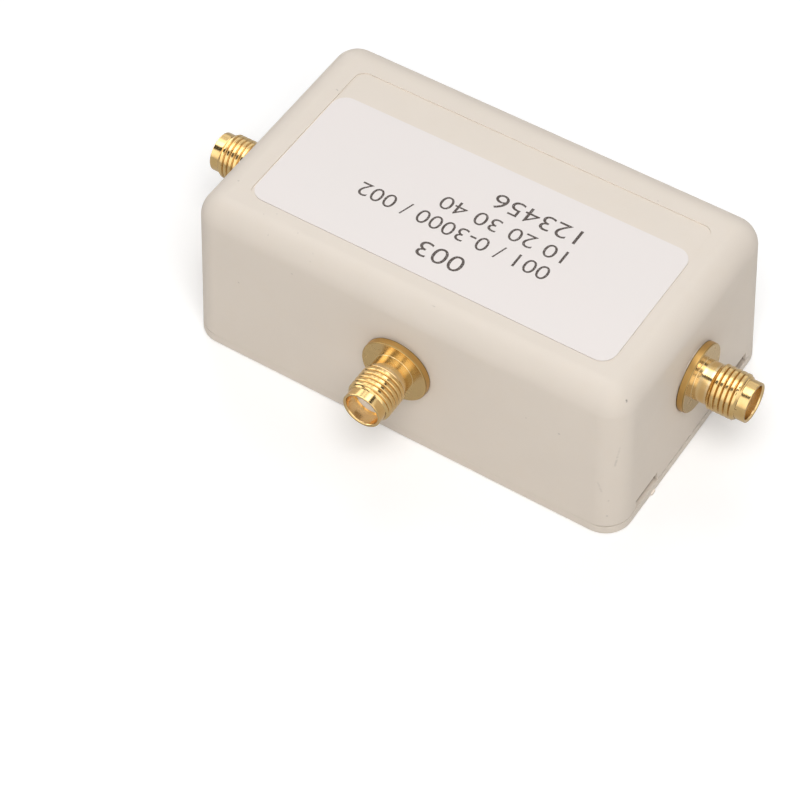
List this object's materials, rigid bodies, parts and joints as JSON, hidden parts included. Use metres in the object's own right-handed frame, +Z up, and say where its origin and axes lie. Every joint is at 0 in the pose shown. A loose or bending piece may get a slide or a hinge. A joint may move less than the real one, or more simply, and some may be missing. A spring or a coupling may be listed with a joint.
{
  "type": "swr bridge",
  "caption": "Small off-white snap-together plastic box with gold coaxial jacks that holds a resistive bridge for measuring standing waves.",
  "frame": {"origin": "middle of the flat underside of the base plate", "axes": "+X along the box towards the input jack, -Y towards the test jack, +Z up through the label"},
  "size_m": [0.0808, 0.0463, 0.025],
  "materials": {
    "housing": "fine moulded texture, satin",
    "label": "satin film with grey print",
    "gold": "turned and gold plated, bright",
    "bead": "smooth, slightly translucent",
    "tinned": "tinned, dull bright",
    "steel": "zinc plated",
    "board": "green solder mask",
    "lead": "black jacket",
    "ferrite": "dark grey sintered",
    "chip": "black with tinned ends"
  },
  "bodies": {
    "root": {"top_shell": "housing", "base_plate": "housing", "label": "label", "input_jack_body": "gold", "input_jack_insulator": "bead", "input_jack_contact": "gold", "input_ground_tag": "tinned", "input_lock_washer": "steel", "input_jack_nut": "gold", "output_jack_body": "gold", "output_jack_insulator": "bead", "output_jack_contact": "gold", "output_ground_tag": "tinned", "output_lock_washer": "steel", "output_jack_nut": "gold", "test_jack_body": "gold", "test_jack_insulator": "bead", "test_jack_contact": "gold", "test_ground_tag": "tinned", "test_lock_washer": "steel", "test_jack_nut": "gold", "circuit_board": "board", "board_screws": "steel", "solder_joints": "tinned", "balun_lead": "lead", "ferrite_sleeve_1": "ferrite", "ferrite_sleeve_2": "ferrite", "ferrite_sleeve_3": "ferrite", "bridge_resistor_1": "chip", "reference_resistor_1": "chip", "bridge_resistor_2": "chip", "reference_resistor_2": "chip"}
  },
  "joints": []
}
